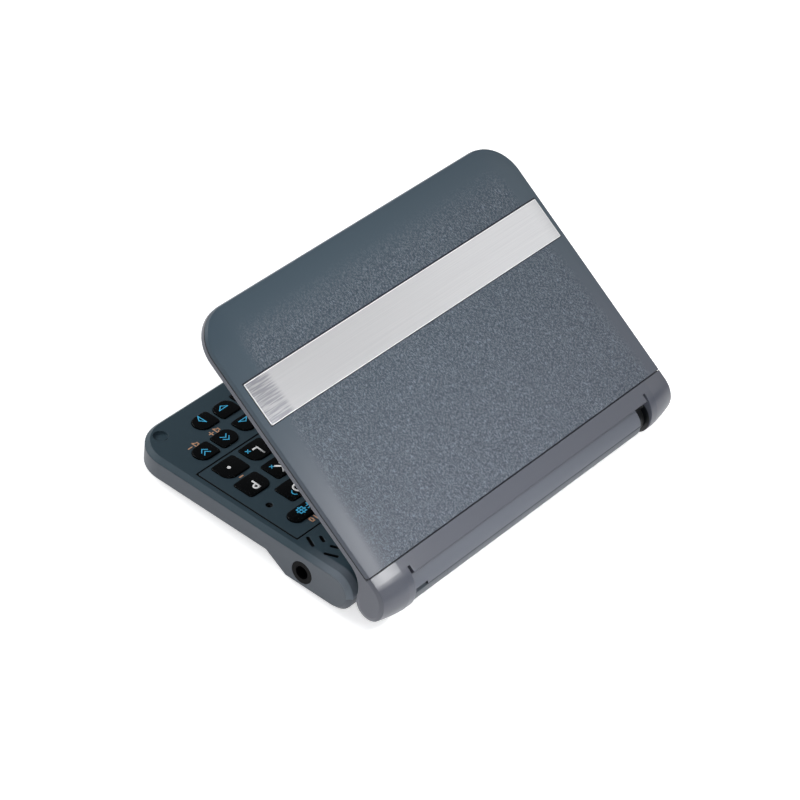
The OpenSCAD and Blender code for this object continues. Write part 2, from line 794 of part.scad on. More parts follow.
// Everything below the lid face when that is lowered by inset
module below_face(inset) {
    translate([0, case_d, 0]) rotate([90, 0, 0]) linear_extrude(case_d) for (m = [0, 1])
        mirror([m, 0]) translate([half_w - corner_r, 0]) intersection() {
            face_curve(inset);
            translate([corner_r - half_w, 0]) square([half_w, lid_h - inset]);
        }
}

module trim_strip() color(metal_colour) on_lid() {
    strip_body(strip_t - strip_proud, strip_proud, 0);
}

// Round body about an axis along x whose edge section is the lid's shoulder, with radius r
module shoulder_round(r) {
    rotate([0, 90, 0]) rotate_extrude() mirror([1, -1]) intersection() {
        translate([half_w - corner_r, r - lid_h]) lid_edge(0);
        translate([knuckle_x, 0]) square([knuckle_l, 2*r]);
    }
}

// Knuckle: round about the hinge, and a larger round that carries the lid face down to it
module knuckle() {
    shoulder_round(knuckle_r);
    intersection() {
        translate([0, round_d, 0]) shoulder_round(lid_h);
        side_view(knuckle_x, half_w) translate([round_d - far, 0]) square(far);
    }
}

// Hollow blend from the lid's underside into the front of the knuckle
module knuckle_blend() {
    end_r = knuckle_r - edge_drop;
    blend_r = nose_r + 1.9;
    cz = rim_h - blend_r;
    cy = sqrt(pow(end_r + blend_r, 2) - pow(cz, 2));
    side_view(knuckle_x, half_w) difference() {
        polygon([[0, 0], [0, rim_h + 0.6], [cy, rim_h + 0.6], [cy, cz]]);
        translate([cy, cz]) circle(blend_r);
    }
}

module lid_frame() color(shell_colour) on_lid() {
    field_x = half_w - field_margin;
    difference() {
        union() {
            difference() {
                lid_slab(rim_h, round_d);
                // Everything above the seam and in front of the cover's rear edge is the cover's
                translate([-half_w - 1, cover_back, lid_seam_h - seam_w/2])
                    cube([case_w + 2, case_d, 2*lid_h]);
                // Hollow over the barrel
                side_view(-knuckle_x, knuckle_x) circle(barrel_r + rim_gap);
            }
            // Rear edge of the lid face over the barrel
            side_view(-knuckle_x - eps, knuckle_x + eps) difference() {
                translate([lid_back, rim_h]) square([round_d - lid_back + eps, lid_h - rim_h]);
                circle(barrel_r + rim_gap);
            }
            // Plate that carries the window, and the rise under the cover's rear edge
            intersection() {
                lid_slab(lid_seam_h - 1, cover_back - 1, cover_t + seat);
                union() {
                    translate([-half_w, cover_back - 1, 0]) cube([case_w, case_d, window_top + 0.5]);
                    translate([-half_w, cover_back - 1, 0]) cube([case_w, 4, far]);
                }
            }
            for (m = [0, 1]) mirror([m, 0, 0]) {
                knuckle();
                knuckle_blend();
            }
        }
        // Field below the rim, pocket of the window and opening of the display
        plan(0, field_h) translate([0, (field_back + case_d - field_front)/2])
            round_rect(2*field_x, case_d - field_front - field_back, field_r);
        plan(0, window_top) translate([0, window_back + window_d/2])
            round_rect(window_w + 2*seat, window_d + 2*seat, 2);
        plan(0, far) translate([0, window_back + window_d/2])
            square([window_w - 2*window_ledge, window_d - 2*window_ledge], center = true);
        for (m = [0, 1]) mirror([m, 0, 0]) translate([knuckle_x - 1, 0, 0]) rotate([0, 90, 0])
            cylinder(r = pin_r + 0.02, h = pin_seat + 1);
        bumper_places() cylinder(r = bumper_r, h = 0.8);
    }
}

module display_module() color([0.45, 0.5, 0.42]) on_lid() {
    plan(window_top, cover_in - seat) translate([0, window_back + window_d/2])
        square([window_w - 2*window_ledge - 0.4, window_d - 2*window_ledge - 0.4], center = true);
}

module display_window() color([0.1, 0.12, 0.13, 0.8]) on_lid() {
    plan(field_h, window_top) translate([0, window_back + window_d/2])
        round_rect(window_w, window_d, 2);
}

module bumper_places() {
    for (x = [half_w - bumper_side, bumper_side - half_w])
        translate([x, case_d - bumper_front, rim_h - eps]) children();
}

module lid_bumpers() color([0.1, 0.1, 0.1]) on_lid() {
    bumper_places() translate([0, 0, -0.6]) cylinder(r = bumper_r, h = 1.35);
}

bottom_case();
deck_case();
key_panel();
keypad_mat();
main_board();
headphone_jack();
speaker();
battery_cell();
battery_door();
case_screws();
feet();
hinge_pins();
lid_cover();
lid_frame();
trim_strip();
display_module();
display_window();
lid_bumpers();
for (k = all_keys) key(k);
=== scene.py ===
"""Finishes, legends, stage and camera for a pocket electronic dictionary."""
import json
import math

import bmesh
import bpy
from mathutils import Matrix, Vector


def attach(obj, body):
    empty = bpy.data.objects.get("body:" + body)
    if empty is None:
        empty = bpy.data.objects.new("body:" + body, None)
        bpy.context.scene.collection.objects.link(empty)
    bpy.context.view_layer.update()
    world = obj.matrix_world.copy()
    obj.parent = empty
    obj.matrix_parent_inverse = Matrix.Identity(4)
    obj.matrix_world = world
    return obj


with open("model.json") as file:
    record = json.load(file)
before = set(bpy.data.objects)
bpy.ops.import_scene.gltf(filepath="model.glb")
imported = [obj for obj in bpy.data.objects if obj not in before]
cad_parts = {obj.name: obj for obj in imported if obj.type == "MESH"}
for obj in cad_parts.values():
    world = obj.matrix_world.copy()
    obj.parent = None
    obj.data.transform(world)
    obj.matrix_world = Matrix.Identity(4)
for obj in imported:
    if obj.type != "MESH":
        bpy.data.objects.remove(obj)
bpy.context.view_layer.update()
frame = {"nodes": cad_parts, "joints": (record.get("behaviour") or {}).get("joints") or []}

MM = 0.001
JOINTS = {joint["name"]: joint for joint in frame["joints"]}
HINGE = Vector(JOINTS["lid_hinge"]["pos_m"])
PRESS = Vector(JOINTS["key_p_press"]["axis"])
TILT = math.atan2(PRESS.y, -PRESS.z)
LID_OPEN = math.radians(-JOINTS["lid_hinge"]["range_deg"][0])

# Base and lid axes: x to the user's right, y from the user to the hinge, z out of the deck or lid
BASE = Matrix.Translation(HINGE) @ Matrix.Rotation(TILT, 4, "X") @ Matrix.Scale(MM, 4)
LID = Matrix.Translation(HINGE) @ Matrix.Rotation(TILT - LID_OPEN, 4, "X") @ Matrix.Scale(MM, 4)


def box_in(place, name):
    """Lowest and highest corner of a CAD node, in the millimetre axes of the base or the lid."""
    mesh = frame["nodes"][name].data
    points = [place.inverted() @ vertex.co for vertex in mesh.vertices]
    low = Vector(min(p[i] for p in points) for i in range(3))
    high = Vector(max(p[i] for p in points) for i in range(3))
    return low, high


# Landmarks of the solids, in the millimetre axes of the base or the lid
PANEL_LOW, PANEL_HIGH = box_in(BASE, "key_panel")
COVER_LOW, COVER_HIGH = box_in(LID, "lid_cover")
STRIP_LOW, STRIP_HIGH = box_in(LID, "trim_strip")
DECK_Z = PANEL_HIGH.z
DECK_X = box_in(BASE, "deck_case")[1].x

# The lid's frame reaches furthest back at its knuckles, whose inner faces lie one length from its sides
KNUCKLE_R = box_in(LID, "lid_frame")[1].y
KNUCKLE_LENGTH = 11.0
KNUCKLE_X = COVER_HIGH.x - KNUCKLE_LENGTH
# Height of the seam along the barrel above the hinge's axis
BARREL_SEAM_Z = 0.45


# Materials

def linear(hex_colour, strength=1.0):
    """An sRGB hex colour as linear red, green, blue and alpha, made lighter or darker by strength."""
    parts = [int(hex_colour[i:i + 2], 16) / 255 for i in (1, 3, 5)]
    linear_parts = [c / 12.92 if c <= 0.04045 else ((c + 0.055) / 1.055) ** 2.4 for c in parts]
    return [c * strength for c in linear_parts] + [1.0]


def add(tree, kind, inputs=None, **settings):
    """Adds a shader node. An input is linked to a socket or to a node's first output, or set to a value."""
    made = tree.nodes.new("ShaderNode" + kind)
    for name, value in settings.items():
        setattr(made, name, value)
    for name, value in (inputs or {}).items():
        if isinstance(value, bpy.types.Node):
            value = value.outputs[0]
        if isinstance(value, bpy.types.NodeSocket):
            tree.links.new(value, made.inputs[name])
        else:
            made.inputs[name].default_value = value
    return made


def new_material(name):
    """An empty material and its node tree."""
    material = bpy.data.materials.new(name)
    material.use_nodes = True
    material.node_tree.nodes.clear()
    return material, material.node_tree


def finished(material, inputs):
    """The material, with a Principled shader that takes the given inputs."""
    tree = material.node_tree
    add(tree, "OutputMaterial", {"Surface": add(tree, "BsdfPrincipled", inputs)})
    return material


def millimetres(tree, place=None):
    """Object coordinates in millimetres, in the axes of the base or of the lid."""
    spot = add(tree, "TexCoord").outputs["Object"]
    turn = place.to_euler() if place else (0, 0, 0)
    start = place.to_translation() if place else (0, 0, 0)
    return add(tree, "Mapping", {"Vector": spot, "Location": start, "Rotation": turn,
                                 "Scale": (MM, MM, MM)}, vector_type="TEXTURE")


def from_hinge(tree, spot):
    """Distance from the hinge's axis, in millimetres."""
    flat = add(tree, "VectorMath", {0: spot, 1: (0, 1, 1)}, operation="MULTIPLY")
    return add(tree, "VectorMath", {0: flat}, operation="LENGTH").outputs["Value"]


def outside(tree, spot, low, high):
    """How far a spot lies outside the rectangle from low to high, seen from above. Inside is below zero."""
    centred = add(tree, "VectorMath", {0: spot, 1: (low + high) / 2}, operation="SUBTRACT")
    folded = add(tree, "VectorMath", {0: centred}, operation="ABSOLUTE")
    beyond = add(tree, "VectorMath", {0: folded, 1: (high - low) / 2}, operation="SUBTRACT")
    sides = add(tree, "SeparateXYZ", {0: beyond}).outputs
    return add(tree, "Math", {0: sides[0], 1: sides[1]}, operation="MAXIMUM")


def layered(tree, tone, *layers):
    """The tone, with other colours laid over it in turn, each by its own share."""
    for share, colour in layers:
        tone = add(tree, "Mix", {0: share, 6: tone, 7: linear(colour)}, data_type="RGBA").outputs[2]
    return tone


def relief_normal(tree, height, depth, edge):
    """Normal of a relief some millimetres deep, on edges rounded by a radius in millimetres."""
    rounded = add(tree, "Bevel", {"Radius": edge * MM}, samples=6)
    return add(tree, "Bump", {"Height": height, "Distance": depth * MM, "Normal": rounded})


def moulded_abs(name, colour, rough, place, marks=(), spark=0.35, depth=0.006, gloss=0.5):
    """Moulded ABS with a spark-eroded skin: an even grain that breaks up the gloss and looks dry."""
    # Real spark grain is about 0.05 mm wide. It is drawn as wide as spark says, to show.
    material, tree = new_material(name)
    spot = millimetres(tree, place)
    cloud = add(tree, "TexNoise", {"Vector": spot, "Scale": 1 / 18.0})
    grain = add(tree, "TexNoise", {"Vector": spot, "Scale": 1 / spark, "Detail": 3.0, "Roughness": 0.6})
    blend = add(tree, "Mix", {0: 0.5, 2: cloud, 3: grain})
    tone = add(tree, "Mix", {0: blend, 6: linear(colour, 0.93), 7: linear(colour, 1.07)},
               data_type="RGBA").outputs[2]
    for mark in marks:
        tone = mark(tree, spot, tone)
    matt = add(tree, "Math", {0: grain, 1: 0.12, 2: rough - 0.06}, operation="MULTIPLY_ADD")
    skin = relief_normal(tree, grain, depth, 0.25)
    return finished(material, {"Base Color": tone, "Roughness": matt, "Normal": skin, "IOR": 1.53,
                               "Specular IOR Level": gloss})


def painted_shade_and_groove(tree, spot, tone):
    """Painted shade, near black, down between the keys and in the holes and slots, and a near black groove
    around the key panel.
    """
    # The painted shade fills a box from near the front edge of the arrow keys to behind the speaker slots,
    # just under the deck's face
    low = Vector((PANEL_LOW.x - 0.35, -70.5, DECK_Z - 3.0))
    high = Vector((PANEL_HIGH.x + 0.35, -11.0, DECK_Z - 0.12))
    sides = add(tree, "SeparateXYZ", {0: spot}).outputs
    deep = 1.0
    for side, start, end in zip(sides, low, high):
        within = add(tree, "Math", {0: side, 1: (start + end) / 2, 2: (end - start) / 2}, operation="COMPARE")
        deep = add(tree, "Math", {0: deep, 1: within}, operation="MULTIPLY")
    # The groove is dark from 0.12 mm inside the panel's edge to 0.3 mm outside it
    border = outside(tree, spot, PANEL_LOW, PANEL_HIGH)
    groove = add(tree, "Math", {0: border, 1: 0.09, 2: 0.21}, operation="COMPARE")
    return layered(tree, tone, (deep, "#06080a"), (groove, "#06080a"))


def bevel_painted_highlight(tree, spot, tone):
    """Painted highlight: towards the hinge the bevel at each side of the deck is painted pale grey."""
    flat_x, bevel_x = DECK_X - 3.7, DECK_X - 3.0
    dark_y, pale_y = -24.0, -8.0
    sides = add(tree, "SeparateXYZ", {0: spot}).outputs
    aside = add(tree, "Math", {0: sides[0]}, operation="ABSOLUTE")
    bevel = add(tree, "MapRange", {"Value": aside, "From Min": flat_x, "From Max": bevel_x},
                interpolation_type="SMOOTHSTEP")
    rear = add(tree, "MapRange", {"Value": sides[1], "From Min": dark_y, "From Max": pale_y},
               interpolation_type="SMOOTHSTEP")
    share = add(tree, "Math", {0: bevel, 1: rear}, operation="MULTIPLY")
    return layered(tree, tone, (share, "#69727b"))


def barrel_grey_and_painted_shade(tree, spot, tone):
    """The barrel is grey like the lid, with a dark seam along it, and painted shade, near black, in its ends
    around the pins.
    """
    # The barrel is 0.35 mm thinner than the knuckles all round, and painted near black as shade from 0.1 mm
    # under its skin
    reach = from_hinge(tree, spot)
    barrel = add(tree, "Math", {0: reach, 1: KNUCKLE_R}, operation="LESS_THAN")
    inner_painted_shade = add(tree, "Math", {0: reach, 1: KNUCKLE_R - 0.45}, operation="LESS_THAN")
    height = add(tree, "SeparateXYZ", {0: spot}).outputs[2]
    line = add(tree, "Math", {0: height, 1: BARREL_SEAM_Z + 0.075, 2: 0.175}, operation="COMPARE")
    seam = add(tree, "Math", {0: line, 1: barrel}, operation="MULTIPLY")
    return layered(tree, tone, (barrel, "#62666f"), (seam, "#20242c"), (inner_painted_shade, "#08090b"))


def cover_seam(tree, spot, tone):
    """Dark joint between the lid's frame and cover, which turns at the hinge in a small round."""
    # The line is 0.38 mm wide, and its turn has this radius
    turn = 0.9
    corner = (0, turn - COVER_HIGH.y, turn + COVER_LOW.z)
    past = add(tree, "VectorMath", {0: spot, 1: (0, 1, -1), 2: corner}, operation="MULTIPLY_ADD")
    clipped = add(tree, "VectorMath", {0: past, 1: (0, 0, 0)}, operation="MAXIMUM")
    reach = add(tree, "VectorMath", {0: clipped}, operation="LENGTH").outputs["Value"]
    line = add(tree, "Math", {0: reach, 1: turn + 0.07, 2: 0.19}, operation="COMPARE")
    return layered(tree, tone, (line, "#10151f"))


def flank_painted_shade(tree, spot, tone):
    """Painted shade: the flanks of the knuckles are painted dark, deep in the gaps at the barrel's ends."""
    knuckle = add(tree, "Math", {0: from_hinge(tree, spot), 1: KNUCKLE_R - 0.08}, operation="LESS_THAN")
    sides = add(tree, "SeparateXYZ", {0: spot}).outputs
    aside = add(tree, "Math", {0: sides[0]}, operation="ABSOLUTE")
    # From 0.1 mm before the knuckle's inner face to 0.95 mm behind it
    flank = add(tree, "Math", {0: aside, 1: KNUCKLE_X + 0.425, 2: 0.525}, operation="COMPARE")
    share = add(tree, "Math", {0: knuckle, 1: flank}, operation="MULTIPLY")
    return layered(tree, tone, (share, "#0d1013"))


def wrinkles(tree, spot, turn, size):
    """Short strokes three times as long as wide, turned by some degrees: one on a stroke, zero beside it."""
    laid = add(tree, "Mapping", {"Vector": spot, "Rotation": (0, 0, math.radians(turn)),
                                 "Scale": (1.0, 3.2, 1.0)}, vector_type="TEXTURE")
    stroke = add(tree, "TexNoise", {"Vector": laid, "Scale": 1 / size, "Detail": 1.0})
    return add(tree, "MapRange", {"Value": stroke, "From Min": 0.5, "From Max": 0.68},
               interpolation_type="SMOOTHSTEP")


def grain_mask(tree, spot):
    """Where the cover is grained: its middle, but not the side shoulders or the front."""
    # The bare shoulders widen towards the front by this much for each millimetre
    splay = 0.06
    grained_x, bare_x = COVER_HIGH.x - 7.0, COVER_HIGH.x - 2.5
    bare_y, grained_y = COVER_LOW.y + 4.3, COVER_LOW.y + 14.3
    sides = add(tree, "SeparateXYZ", {0: spot}).outputs
    aside = add(tree, "Math", {0: sides[0]}, operation="ABSOLUTE")
    reach = add(tree, "Math", {0: sides[1], 1: -splay, 2: aside}, operation="MULTIPLY_ADD")
    across = add(tree, "MapRange", {"Value": reach, "From Min": grained_x, "From Max": bare_x,
                                    "To Min": 1.0, "To Max": 0.0}, interpolation_type="SMOOTHSTEP")
    along = add(tree, "MapRange", {"Value": sides[1], "From Min": bare_y, "From Max": grained_y},
                interpolation_type="SMOOTHSTEP")
    return add(tree, "Math", {0: across, 1: along}, operation="MULTIPLY")


def leather_relief(tree, spot):
    """Folds in short strokes, in patches that lean either way from the hinge to the front, and across."""
    sway = add(tree, "TexNoise", {"Vector": spot, "Scale": 1 / 1.8})
    centred = add(tree, "VectorMath", {0: sway.outputs[1], 1: (0.5, 0.5, 0.5)}, operation="SUBTRACT")
    bent = add(tree, "VectorMath", {0: centred, 1: (0.5, 0.5, 0.5), 2: spot}, operation="MULTIPLY_ADD")
    patch = add(tree, "TexNoise", {"Vector": spot, "Scale": 1 / 2.0, "Detail": 1.0})
    left = add(tree, "MapRange", {"Value": patch, "From Min": 0.4, "From Max": 0.6},
               interpolation_type="SMOOTHSTEP")
    right = add(tree, "Math", {0: 1.0, 1: left}, operation="SUBTRACT")
    hills = 0.0
    for turn, size, share in ((10, 0.25, left), (-12, 0.24, right), (82, 0.24, 0.65)):
        fold = add(tree, "Math", {0: wrinkles(tree, bent, turn, size), 1: share}, operation="MULTIPLY")
        hills = add(tree, "Math", {0: hills, 1: fold}, operation="MAXIMUM")
    return hills


def leather_grained_abs():
    """ABS moulded with a leather grain that fades out towards the edges; its grained middle is painted darker
    as shade and its ridges paler as painted highlights.
    """
    material, tree = new_material("leather_grained_abs")
    spot = millimetres(tree, LID)
    mask = grain_mask(tree, spot)
    relief = add(tree, "Math", {0: leather_relief(tree, spot), 1: mask}, operation="MULTIPLY")
    fine = add(tree, "TexNoise", {"Vector": spot, "Scale": 1 / 0.3, "Detail": 3.0, "Roughness": 0.6})
    # Painted light: darker and a little bluer towards the front, lighter and a little warmer towards the
    # hinge
    along = add(tree, "SeparateXYZ", {0: spot}).outputs[1]
    hinge_painted_light = add(tree, "MapRange", {"Value": along, "From Min": -70.0, "From Max": 0.0},
                 interpolation_type="SMOOTHSTEP")
    # Painted shade darkens the grained middle, and painted highlights lighten the ridges of the grain
    grain_painted_shade = add(tree, "Math", {0: mask, 1: 0.5}, operation="MULTIPLY")
    fold_painted_highlights = add(tree, "Math", {0: relief, 1: 0.62}, operation="MULTIPLY")
    tone = layered(tree, linear("#42515c"), (hinge_painted_light, "#545963"), (grain_painted_shade, "#39434e"), (fold_painted_highlights, "#959eaa"))
    tone = cover_seam(tree, spot, tone)
    # Painted shadow in the gap around the metal strip, wider along its front edge
    border = outside(tree, spot, STRIP_LOW - Vector((0, 0.16, 0)), STRIP_HIGH)
    gap = add(tree, "Math", {0: border, 1: 0.24}, operation="LESS_THAN")
    tone = layered(tree, tone, (gap, "#171b27"))
    satin = add(tree, "Math", {0: mask, 1: 0.02, 2: 0.36}, operation="MULTIPLY_ADD")
    satin = add(tree, "Math", {0: fine, 1: 0.1, 2: satin}, operation="MULTIPLY_ADD")
    skin = relief_normal(tree, fine, 0.006, 0.3)
    raised = add(tree, "Bump", {"Height": relief, "Distance": 0.12 * MM, "Normal": skin})
    return finished(material, {"Base Color": tone, "Roughness": satin, "Normal": raised, "IOR": 1.53,
                               "Specular IOR Level": 0.33})


def brushed_aluminium():
    """Aluminium sheet brushed along its length: long hair lines that stretch the highlight."""
    material, tree = new_material("brushed_aluminium")
    spot = millimetres(tree, LID)
    # Hair lines 33 mm long and 0.17 mm wide, and streaks 50 mm long and 0.38 mm wide. Real brush
    # marks are some hundredths of a millimetre wide, so the lines are drawn coarser to show.
    hair = add(tree, "Mapping", {"Vector": spot, "Scale": (0.03, 6.0, 1.0)})
    bands = add(tree, "Mapping", {"Vector": spot, "Scale": (0.02, 2.6, 1.0)})
    lines = add(tree, "TexNoise", {"Vector": hair, "Scale": 1.0, "Detail": 4.0, "Roughness": 0.7})
    streak = add(tree, "TexNoise", {"Vector": bands, "Scale": 1.0})
    along = add(tree, "SeparateXYZ", {0: spot}).outputs[0]
    fine = add(tree, "MapRange", {"Value": lines, "From Min": 0.3, "From Max": 0.7},
               interpolation_type="SMOOTHSTEP")
    # Painted reflection: duller from left to right. Streaks where the right end bends down, darkened there as
    # painted shade
    dull_x = STRIP_HIGH.x - 8.9
    bend_x, end_x = STRIP_HIGH.x - 7.9, STRIP_HIGH.x - 5.9
    painted_reflection_fade = add(tree, "MapRange", {"Value": along, "From Min": -dull_x, "From Max": dull_x, "To Max": 0.4},
                 interpolation_type="SMOOTHSTEP")
    streaked = add(tree, "MapRange", {"Value": streak, "From Min": 0.4, "From Max": 0.6},
                   interpolation_type="SMOOTHSTEP")
    # Painted shade on the bend, which darkens the streaks there
    bend_painted_shade = add(tree, "MapRange", {"Value": along, "From Min": bend_x, "From Max": end_x, "To Max": 0.7},
               interpolation_type="SMOOTHSTEP")
    share = add(tree, "Math", {0: streaked, 1: bend_painted_shade}, operation="MULTIPLY")
    # Painted highlight on the cut edges, near white and less metallic, 0.2 mm wide along the strip and a
    # little wider at its ends
    wider = Vector((0.02, 0, 0))
    border = outside(tree, spot, STRIP_LOW + wider, STRIP_HIGH - wider)
    rim = add(tree, "Math", {0: border, 1: -0.2}, operation="GREATER_THAN")
    tone = layered(tree, linear("#cfcfd1"), (fine, "#dadadb"), (painted_reflection_fade, "#9d9d9f"), (share, "#8a8a94"),
                   (rim, "#f4f4f4"))
    metal = add(tree, "Math", {0: rim, 1: -0.6, 2: 0.75}, operation="MULTIPLY_ADD")
    rough = add(tree, "Math", {0: lines, 1: 0.16, 2: 0.28}, operation="MULTIPLY_ADD")
    skin = relief_normal(tree, lines, 0.008, 0.06)
    return finished(material, {"Base Color": tone, "Metallic": metal, "Roughness": rough, "Normal": skin})


def polished_key_plastic():
    """Moulded and polished black plastic: deep gloss, with a faint ripple that bends the reflections."""
    material, tree = new_material("polished_key_plastic")
    spot = millimetres(tree, BASE)
    ripple = add(tree, "TexNoise", {"Vector": spot, "Scale": 1 / 3.5, "Detail": 1.0})
    smudge = add(tree, "TexNoise", {"Vector": spot, "Scale": 1 / 1.2, "Detail": 3.0})
    tone = layered(tree, linear("#030405"), (smudge, "#07090b"))
    rough = add(tree, "Math", {0: smudge, 1: 0.12, 2: 0.2}, operation="MULTIPLY_ADD")
    skin = relief_normal(tree, ripple, 0.01, 0.22)
    return finished(material, {"Base Color": tone, "Roughness": rough, "Normal": skin, "IOR": 1.4,
                               "Specular IOR Level": 0.3})


def small_part(name, colour, rough, metal=0.0, edge=0.1, gloss=0.5):
    """A plain finish with its own fine grain, for the small pieces."""
    # Real grain on such parts is finer than 0.1 mm, so it is drawn 0.5 mm wide to show
    material, tree = new_material(name)
    grain = add(tree, "TexNoise", {"Vector": millimetres(tree), "Scale": 1 / 0.5, "Detail": 3.0,
                                   "Roughness": 0.6})
    tone = add(tree, "Mix", {0: grain, 6: linear(colour, 0.92), 7: linear(colour, 1.08)},
               data_type="RGBA").outputs[2]
    matt = add(tree, "Math", {0: grain, 1: 0.15, 2: rough - 0.07}, operation="MULTIPLY_ADD")
    skin = relief_normal(tree, grain, 0.004, edge)
    return finished(material, {"Base Color": tone, "Metallic": metal, "Roughness": matt, "Normal": skin,
                               "Specular IOR Level": gloss})


def clear_acrylic():
    """Cast acrylic sheet with a hard coat: clear, with sharp reflections."""
    material, tree = new_material("clear_acrylic")
    haze = add(tree, "TexNoise", {"Vector": millimetres(tree, LID), "Scale": 1 / 30.0})
    tone = layered(tree, linear("#f2f5f5"), (haze, "#ffffff"))
    return finished(material, {"Base Color": tone, "Roughness": 0.05, "IOR": 1.49,
                               "Transmission Weight": 1.0})


def crystal_display():
    """Reflective liquid crystal panel, switched off: grey-green cells in a fine grid."""
    material, tree = new_material("liquid_crystal_panel")
    spot = millimetres(tree, LID)
    # Cells of such panels are about 0.2 mm wide, so these are drawn coarser to show
    cell = 0.33
    sides = add(tree, "SeparateXYZ", {0: spot}).outputs
    lines = [add(tree, "Math", {0: side, 1: cell / 2}, operation="PINGPONG") for side in sides[:2]]
    gap = add(tree, "Math", {0: lines[0], 1: lines[1]}, operation="MINIMUM")
    grid = add(tree, "MapRange", {"Value": gap, "From Min": 0.0, "From Max": 0.05,
                                  "To Min": 0.35, "To Max": 0.0}, interpolation_type="SMOOTHSTEP")
    cloud = add(tree, "TexNoise", {"Vector": spot, "Scale": 1 / 20.0})
    tone = layered(tree, linear("#7d887c"), (cloud, "#8a9588"), (grid, "#6a7469"))
    return finished(material, {"Base Color": tone, "Roughness": 0.3, "IOR": 1.5})


def circuit_board():
    """Glass-fibre board under green solder resist, with tracks that show as paler lines."""
    material, tree = new_material("solder_resist")
    tracks = add(tree, "TexBrick", {"Vector": millimetres(tree, BASE), "Scale": 0.35,
                                    "Color1": linear("#ffffff"), "Color2": linear("#ffffff", 0.8),
                                    "Mortar": linear("#000000")})
    tone = layered(tree, linear("#123f29"), (tracks, "#1f6a45"))
    return finished(material, {"Base Color": tone, "Roughness": 0.35, "IOR": 1.5})


def printed(name, colour):
    """Pad-printed ink: thin, even and duller than the key under it."""
    material, tree = new_material(name)
    film = add(tree, "TexNoise", {"Vector": millimetres(tree), "Scale": 1 / 0.25})
    tone = layered(tree, linear(colour, 0.9), (film, colour))
    return finished(material, {"Base Color": tone, "Roughness": 0.45, "IOR": 1.5})


base_abs = moulded_abs("satin_abs_base", "#495058", 0.5, BASE)
lid_abs = moulded_abs("satin_abs_lid", "#4d505a", 0.34, LID, (cover_seam, flank_painted_shade))
deck_abs = moulded_abs("deck_and_barrel_abs", "#32454f", 0.55, BASE, (painted_shade_and_groove, bevel_painted_highlight, barrel_grey_and_painted_shade),
                       spark=0.4, depth=0.01, gloss=0.35)
panel_abs = moulded_abs("matt_teal_abs", "#32454f", 0.55, BASE, (painted_shade_and_groove,),
                        spark=0.4, depth=0.01, gloss=0.35)
key_plastic = polished_key_plastic()
# Moulded rubber: dull, so that it hardly takes a highlight
rubber = small_part("moulded_rubber", "#1b1c1e", 0.75)
finishes = {
    "lid_cover": leather_grained_abs(), "lid_frame": lid_abs, "bottom_case": base_abs,
    "battery_door": base_abs, "deck_case": deck_abs, "key_panel": panel_abs,
    "trim_strip": brushed_aluminium(), "display_module": crystal_display(),
    "display_window": clear_acrylic(), "main_board": circuit_board(),
    # Moulded silicone: soft, dull and grey
    "keypad_mat": small_part("silicone_rubber", "#5a5d61", 0.65),
    # Moulded nylon: deep black with hardly any gloss
    "headphone_jack": small_part("black_nylon", "#040405", 0.5, gloss=0.08),
    # Moulded plastic: matt, so that the frame sinks behind the slots
    "speaker": small_part("speaker_frame_plastic", "#1c1d20", 0.6),
    # Laminated foil: pale grey with a dull metal sheen
    "battery_cell": small_part("aluminium_foil_wrap", "#8d959c", 0.4, metal=0.6),
    # Machined steel, blackened: a dark metal glint
    "case_screws": small_part("blackened_steel", "#4a4c50", 0.35, metal=1.0),
    # Turned steel under black oxide: near black with a faint sheen
    "hinge_pins": small_part("black_oxide_steel", "#17191b", 0.4, metal=0.5, edge=0.2),
    "feet": rubber, "lid_bumpers": rubber}
for name, item in frame["nodes"].items():
    item.data.materials.clear()
    item.data.materials.append(finishes.get(name, key_plastic))

white_ink = printed("white_ink", "#ffffff")
blue_ink = printed("blue_ink", "#4cc8f8")
orange_ink = printed("orange_ink", "#e0ad8a")

# Legends

# Top and underside of the ink film around the surface that it lies on, and how near corners merge
INK_TOP = 0.06
INK_LOW = -0.02
MERGE = 1e-5
# Radius of a key's dome. Keys wider than this are curved only from front to rear.
DOME_R = 30.0
WIDE_KEY = 13.0
# Height of the letters, a capital's height for the font's size, and how far its strokes are thickened
LETTER_H = 2.8
CAPITAL_SHARE = 0.7
BOLDER = 0.022


def solid_object(name, bm, material, body):
    """Makes the object of a finished bmesh, with its finish, slot and body."""
    bmesh.ops.recalc_face_normals(bm, faces=bm.faces)
    mesh = bpy.data.meshes.new(name)
    bm.to_mesh(mesh)
    bm.free()
    mesh.materials.append(material)
    made = bpy.data.objects.new(name, mesh)
    bpy.context.scene.collection.objects.link(made)
    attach(made, body)


def letter_mesh(text, height):
    """Mesh of a letter, centred on the origin, with capitals of the given height."""
    curve = bpy.data.curves.new("letter", "FONT")
    curve.body = text
    curve.align_x = "CENTER"
    curve.size = height / CAPITAL_SHARE
    curve.offset = height * BOLDER
    curve.resolution_u = 4
    holder = bpy.data.objects.new("letter", curve)
    bpy.context.scene.collection.objects.link(holder)
    bpy.context.view_layer.update()
    mesh = bpy.data.meshes.new_from_object(holder.evaluated_get(bpy.context.evaluated_depsgraph_get()))
    bpy.data.objects.remove(holder)
    bm = bmesh.new()
    bm.from_mesh(mesh)
    middle = (min(v.co.y for v in bm.verts) + max(v.co.y for v in bm.verts)) / 2
    bmesh.ops.translate(bm, vec=(0, -middle, 0), verts=bm.verts)
    return bm


def strokes(lines, width):
    """Mesh of flat strokes along lines of points, as one bmesh."""
    bm = bmesh.new()
    for line in lines:
        for start, end in zip(line, line[1:]):
            run = Vector(end) - Vector(start)
            middle = (Vector(start) + Vector(end)) / 2
            place = Matrix.Translation(middle.to_3d()) @ Matrix.Rotation(math.atan2(run.y, run.x), 4, "Z")
            stretch = Matrix.Diagonal((run.length + width, width, 1, 1))
            bmesh.ops.create_grid(bm, x_segments=1, y_segments=1, size=0.5, matrix=place @ stretch)
    return bm


